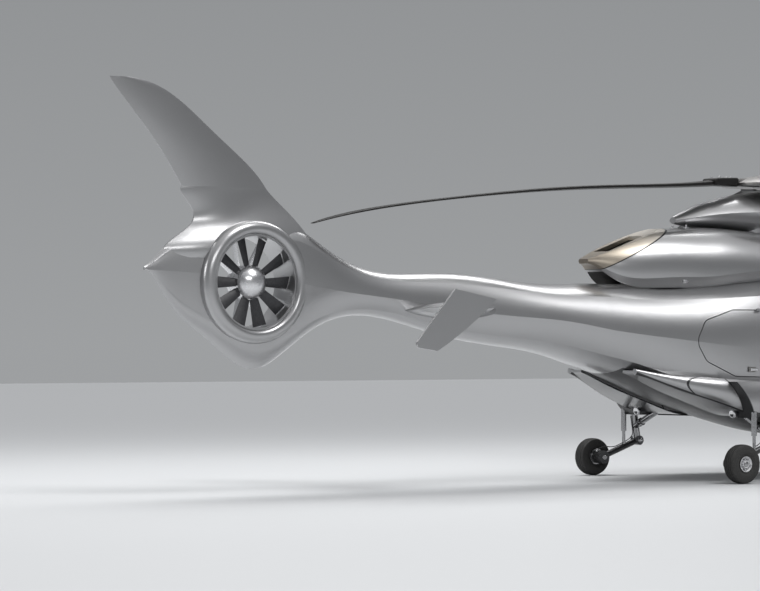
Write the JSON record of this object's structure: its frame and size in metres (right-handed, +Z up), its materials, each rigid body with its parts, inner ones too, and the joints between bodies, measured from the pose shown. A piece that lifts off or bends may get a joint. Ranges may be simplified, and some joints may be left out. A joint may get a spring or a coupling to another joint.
{
  "type": "light helicopter",
  "caption": "Light helicopter with a drooping three-blade rotor, a fan in the fin, a stabilizer with endplates, hinged cabin doors and wheels on sponsons.",
  "frame": {"origin": "middle of the whole aircraft in plan, on the ground under its wheels", "axes": "+X ahead to the nose, +Y to the port side, +Z up along the mast"},
  "size_m": [10.499, 9.305, 3.484],
  "materials": {
    "body_silver": "satin metallic silver-grey paint",
    "belly_black": "satin black paint",
    "blade_black": "satin dark composite",
    "fan_black": "satin dark composite",
    "heat_metal": "heat-tinted sheet metal",
    "bright_alloy": "machined bright metal",
    "hub_alloy": "dark satin metal",
    "gear_steel": "dark painted steel",
    "gear_chrome": "polished",
    "cast_metal": "plain casting",
    "tyre": "matt black rubber",
    "window_glass": "tinted clear pane",
    "seat_leather": "soft stitched leather",
    "trim_dark": "fine grained trim"
  },
  "bodies": {
    "airframe": {"aft_fuselage": "body_silver", "belly_pan": "belly_black", "bench_back": "seat_leather", "bench_base": "trim_dark", "bench_cushion": "seat_leather", "cabin_frame": "body_silver", "deck_fairing": "body_silver", "duct_liner": "body_silver", "engine_block": "cast_metal", "engine_cowl": "body_silver", "exhaust_panel": "heat_metal", "fan_shroud": "body_silver", "fan_stator": "bright_alloy", "flight_controls": "trim_dark", "gear_braces": "gear_chrome", "gearbox": "cast_metal", "instrument_panel": "trim_dark", "jack_pads": "gear_steel", "main_legs": "gear_chrome", "mast_fairing": "body_silver", "nose_gear_doors": "belly_black", "nose_leg": "gear_chrome", "seat_backs": "seat_leather", "seat_bases": "trim_dark", "seat_cushions": "seat_leather", "shocks": "gear_chrome", "sponson_left": "body_silver", "sponson_right": "body_silver", "stabilizer_left": "body_silver", "stabilizer_right": "body_silver", "tail_boom": "body_silver", "tail_fin": "body_silver", "trailing_arms": "gear_steel", "windscreens": "window_glass"},
    "main_rotor": {"rotor_mast": "gear_steel", "rotor_hub": "hub_alloy", "hub_cap": "hub_alloy", "rotor_blade_1": "blade_black", "rotor_blade_2": "blade_black", "rotor_blade_3": "blade_black"},
    "fan": {"fan_hub": "bright_alloy", "fan_blades": "fan_black"},
    "main_wheel_left": {"main_wheel_left": "bright_alloy", "main_tyre_left": "tyre"},
    "main_wheel_right": {"main_wheel_right": "bright_alloy", "main_tyre_right": "tyre"},
    "nose_gear": {"nose_fork": "gear_steel"},
    "nose_wheel": {"nose_wheel": "bright_alloy", "nose_tyre": "tyre"},
    "front_door_left": {"front_door_left": "body_silver", "front_door_window_left": "window_glass"},
    "rear_door_left": {"rear_door_left": "body_silver", "rear_door_window_left": "window_glass"},
    "luggage_door_left": {"luggage_door_left": "body_silver"},
    "front_door_right": {"front_door_right": "body_silver", "front_door_window_right": "window_glass"},
    "rear_door_right": {"rear_door_right": "body_silver", "rear_door_window_right": "window_glass"},
    "luggage_door_right": {"luggage_door_right": "body_silver"}
  },
  "joints": [
    {"name": "main_rotor_spin", "type": "hinge", "parent": "airframe", "child": "main_rotor", "pos_m": [2.11, 0, 2.83], "axis": [0, 0, 1], "continuous": true},
    {"name": "fan_spin", "type": "hinge", "parent": "airframe", "child": "fan", "pos_m": [-3.92, 0, 1.8], "axis": [0, 1, 0], "continuous": true},
    {"name": "main_wheel_left_spin", "type": "hinge", "parent": "airframe", "child": "main_wheel_left", "pos_m": [0.76, 1.07, 0.1805], "axis": [0, 1, 0], "continuous": true},
    {"name": "main_wheel_right_spin", "type": "hinge", "parent": "airframe", "child": "main_wheel_right", "pos_m": [0.76, -1.07, 0.1805], "axis": [0, 1, 0], "continuous": true},
    {"name": "nose_steer", "type": "hinge", "parent": "airframe", "child": "nose_gear", "pos_m": [4.01, 0, 0.356], "axis": [0, 0, 1], "range_deg": [-60, 60]},
    {"name": "nose_wheel_spin", "type": "hinge", "parent": "nose_gear", "child": "nose_wheel", "pos_m": [3.968, 0, 0.152], "axis": [0, 1, 0], "continuous": true},
    {"name": "front_door_left_open", "type": "hinge", "parent": "airframe", "child": "front_door_left", "pos_m": [3.558, 0.85, 1.1], "axis": [0, 0, -1], "range_deg": [0, 75]},
    {"name": "rear_door_left_open", "type": "hinge", "parent": "airframe", "child": "rear_door_left", "pos_m": [1.656, 0.872, 1.4], "axis": [0, 0, 1], "range_deg": [0, 75]},
    {"name": "luggage_door_left_open", "type": "hinge", "parent": "airframe", "child": "luggage_door_left", "pos_m": [1.11, 0.765, 1.596], "axis": [1, 0, 0], "range_deg": [0, 80]},
    {"name": "front_door_right_open", "type": "hinge", "parent": "airframe", "child": "front_door_right", "pos_m": [3.558, -0.85, 1.1], "axis": [0, 0, 1], "range_deg": [0, 75]},
    {"name": "rear_door_right_open", "type": "hinge", "parent": "airframe", "child": "rear_door_right", "pos_m": [1.656, -0.872, 1.4], "axis": [0, 0, -1], "range_deg": [0, 75]},
    {"name": "luggage_door_right_open", "type": "hinge", "parent": "airframe", "child": "luggage_door_right", "pos_m": [1.11, -0.765, 1.596], "axis": [-1, 0, 0], "range_deg": [0, 80]}
  ]
}
